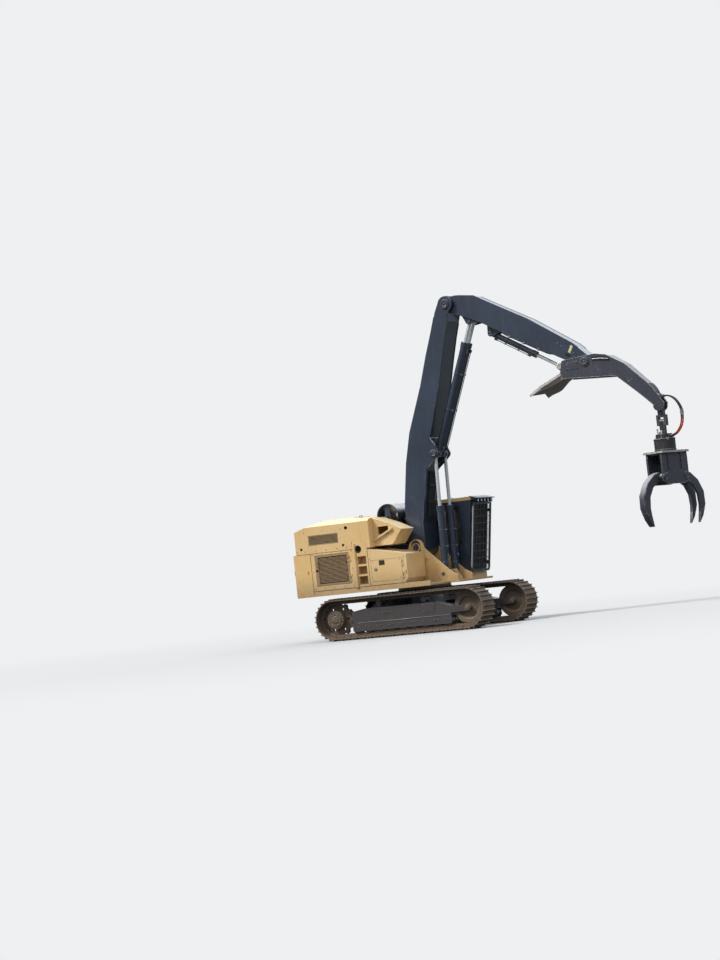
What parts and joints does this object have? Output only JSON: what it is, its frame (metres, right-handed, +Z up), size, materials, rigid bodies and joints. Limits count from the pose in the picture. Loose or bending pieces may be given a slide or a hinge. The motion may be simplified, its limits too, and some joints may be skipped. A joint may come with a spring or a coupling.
{
  "type": "tracked log loader",
  "caption": "Tracked log loader: slewing house with guarded cab, tall bent boom, stick, live heel gooseneck and a rotating log grapple.",
  "frame": {"origin": "on the ground under the swing axis, midway between the tracks", "axes": "+X forward, where the boom points; +Y to the machine's left; +Z up"},
  "size_m": [10.9493, 3.45, 8.6159],
  "materials": {
    "yellow_paint": "satin",
    "black_paint": "satin",
    "track_steel": "matte",
    "worn_steel": "satin",
    "mesh_paint": "matte",
    "rod_chrome": "polished",
    "dark_glass": "gloss",
    "seat_vinyl": "matte",
    "hose_rubber": "matte"
  },
  "bodies": {
    "undercarriage": {"car_body": "black_paint", "track_frame_left": "black_paint", "track_frame_right": "black_paint", "track_left": "track_steel", "track_right": "track_steel", "idlers": "track_steel", "sprockets": "track_steel", "swing_bearing": "track_steel"},
    "house": {"house_frame": "yellow_paint", "counterweight": "yellow_paint", "engine_block": "track_steel", "engine_hood": "yellow_paint", "hood_grilles": "mesh_paint", "right_panel": "yellow_paint", "left_panel": "yellow_paint", "bulkhead": "black_paint", "ladder_column": "yellow_paint", "front_cowl": "yellow_paint", "deck_box": "yellow_paint", "hose_guard": "black_paint", "cab_shell": "black_paint", "cab_roof": "yellow_paint", "cab_glass": "dark_glass", "lamp_visor": "black_paint", "front_guard": "black_paint", "seat": "seat_vinyl", "foot_hose_left": "hose_rubber", "foot_hose_right": "hose_rubber"},
    "radiator_door": {"radiator_door": "mesh_paint"},
    "service_door": {"service_door": "yellow_paint"},
    "deck_box_door": {"deck_box_door": "yellow_paint"},
    "cab_door": {"cab_door": "black_paint", "door_glass": "dark_glass"},
    "boom": {"main_boom": "black_paint"},
    "hoist_barrels": {"hoist_barrels": "black_paint"},
    "hoist_rods": {"hoist_rods": "rod_chrome"},
    "stick_barrels": {"stick_barrels": "black_paint"},
    "stick_rods": {"stick_rods": "rod_chrome"},
    "stick": {"stick_arm": "black_paint"},
    "heel_barrel": {"heel_barrel": "black_paint"},
    "heel_rod": {"heel_rod": "rod_chrome"},
    "heel": {"heel_arm": "worn_steel", "heel_jaw": "worn_steel", "neck_hose_left": "hose_rubber", "neck_hose_right": "hose_rubber"},
    "upper_link": {"upper_link": "worn_steel", "turn_hose_left": "hose_rubber", "turn_hose_right": "hose_rubber"},
    "rotator": {"rotator": "worn_steel"},
    "grapple_head": {"grapple_head": "worn_steel"},
    "single_tine": {"single_tine": "worn_steel"},
    "tine_pair": {"tine_pair": "worn_steel"}
  },
  "joints": [
    {"name": "swing", "type": "hinge", "parent": "undercarriage", "child": "house", "pos_m": [0, 0, 1.128], "axis": [0, 0, 1], "continuous": true},
    {"name": "boom_lift", "type": "hinge", "parent": "house", "child": "boom", "pos_m": [0.1, 0, 2.2], "axis": [0, 1, 0], "range_deg": [-4, 65], "deforming": ["foot_hose_left", "foot_hose_right"]},
    {"name": "hoist_pivot", "type": "hinge", "parent": "house", "child": "hoist_barrels", "pos_m": [0.8, 0, 1.44], "axis": [0, 1, 0], "range_deg": [-3.92, 56.14]},
    {"name": "hoist_slide", "type": "slide", "parent": "hoist_barrels", "child": "hoist_rods", "axis": [0.02, 0, 0.9998], "range_m": [-1.03963, 0.06867]},
    {"name": "stick_fold", "type": "hinge", "parent": "boom", "child": "stick", "pos_m": [1.63999, 0, 8.3996], "axis": [0, -1, 0], "range_deg": [-15, 65]},
    {"name": "stick_cylinder_pivot", "type": "hinge", "parent": "boom", "child": "stick_barrels", "pos_m": [0.86282, 0, 4.58649], "axis": [0, -1, 0], "range_deg": [-0.69, 1.34]},
    {"name": "stick_cylinder_slide", "type": "slide", "parent": "stick_barrels", "child": "stick_rods", "axis": [0.3749, 0, 0.9271], "range_m": [-0.18761, 0.79629]},
    {"name": "heel_tilt", "type": "hinge", "parent": "stick", "child": "heel", "pos_m": [5.29031, 0, 6.37952], "axis": [0, -1, 0], "range_deg": [-8, 40]},
    {"name": "heel_cylinder_pivot", "type": "hinge", "parent": "stick", "child": "heel_barrel", "pos_m": [2.73177, 0, 7.4811], "axis": [0, -1, 0], "range_deg": [-8.62, 2.12]},
    {"name": "heel_cylinder_slide", "type": "slide", "parent": "heel_barrel", "child": "heel_rod", "axis": [0.8493, 0, -0.528], "range_m": [-0.08618, 0.41089]},
    {"name": "link_pitch", "type": "hinge", "parent": "heel", "child": "upper_link", "pos_m": [7.04031, 0, 5.02952], "axis": [0, 1, 0], "range_deg": [-40, 40], "deforming": ["neck_hose_left", "neck_hose_right"]},
    {"name": "link_roll", "type": "hinge", "parent": "upper_link", "child": "rotator", "pos_m": [7.04031, 0, 4.61952], "axis": [1, 0, 0], "range_deg": [-25, 25], "deforming": ["turn_hose_left", "turn_hose_right"]},
    {"name": "grapple_turn", "type": "hinge", "parent": "rotator", "child": "grapple_head", "pos_m": [7.04031, 0, 3.88922], "axis": [0, 0, 1], "continuous": true},
    {"name": "tine_close", "type": "hinge", "parent": "grapple_head", "child": "single_tine", "pos_m": [6.91459, -0.41121, 3.24922], "axis": [0.9563, -0.2924, 0], "range_deg": [-12, 52]},
    {"name": "pair_close", "type": "hinge", "parent": "grapple_head", "child": "tine_pair", "pos_m": [7.16603, 0.41121, 3.24922], "axis": [-0.9563, 0.2924, 0], "range_deg": [-12, 52]},
    {"name": "radiator_door_hinge", "type": "hinge", "parent": "house", "child": "radiator_door", "pos_m": [-1.333, -1.564, 1.46], "axis": [0, 0, 1], "range_deg": [0, 105]},
    {"name": "service_door_hinge", "type": "hinge", "parent": "house", "child": "service_door", "pos_m": [-1.697, 1.564, 1.46], "axis": [0, 0, 1], "range_deg": [0, 105]},
    {"name": "deck_box_door_hinge", "type": "hinge", "parent": "house", "child": "deck_box_door", "pos_m": [0.187, -1.564, 1.43], "axis": [0, 0, 1], "range_deg": [0, 105]},
    {"name": "cab_door_hinge", "type": "hinge", "parent": "house", "child": "cab_door", "pos_m": [-0.147, 1.634, 1.54], "axis": [0, 0, 1], "range_deg": [0, 90]}
  ],
  "couplings": [
    {"joint": "hoist_pivot", "follows": "boom_lift", "ratio": 0.856},
    {"joint": "hoist_slide", "follows": "boom_lift", "m_per_rad": -0.912},
    {"joint": "stick_cylinder_pivot", "follows": "stick_fold", "ratio": 0.013},
    {"joint": "stick_cylinder_slide", "follows": "stick_fold", "m_per_rad": 0.6975},
    {"joint": "heel_cylinder_pivot", "follows": "heel_tilt", "ratio": -0.203},
    {"joint": "heel_cylinder_slide", "follows": "heel_tilt", "m_per_rad": 0.5814},
    {"joint": "pair_close", "follows": "tine_close", "ratio": 1}
  ]
}
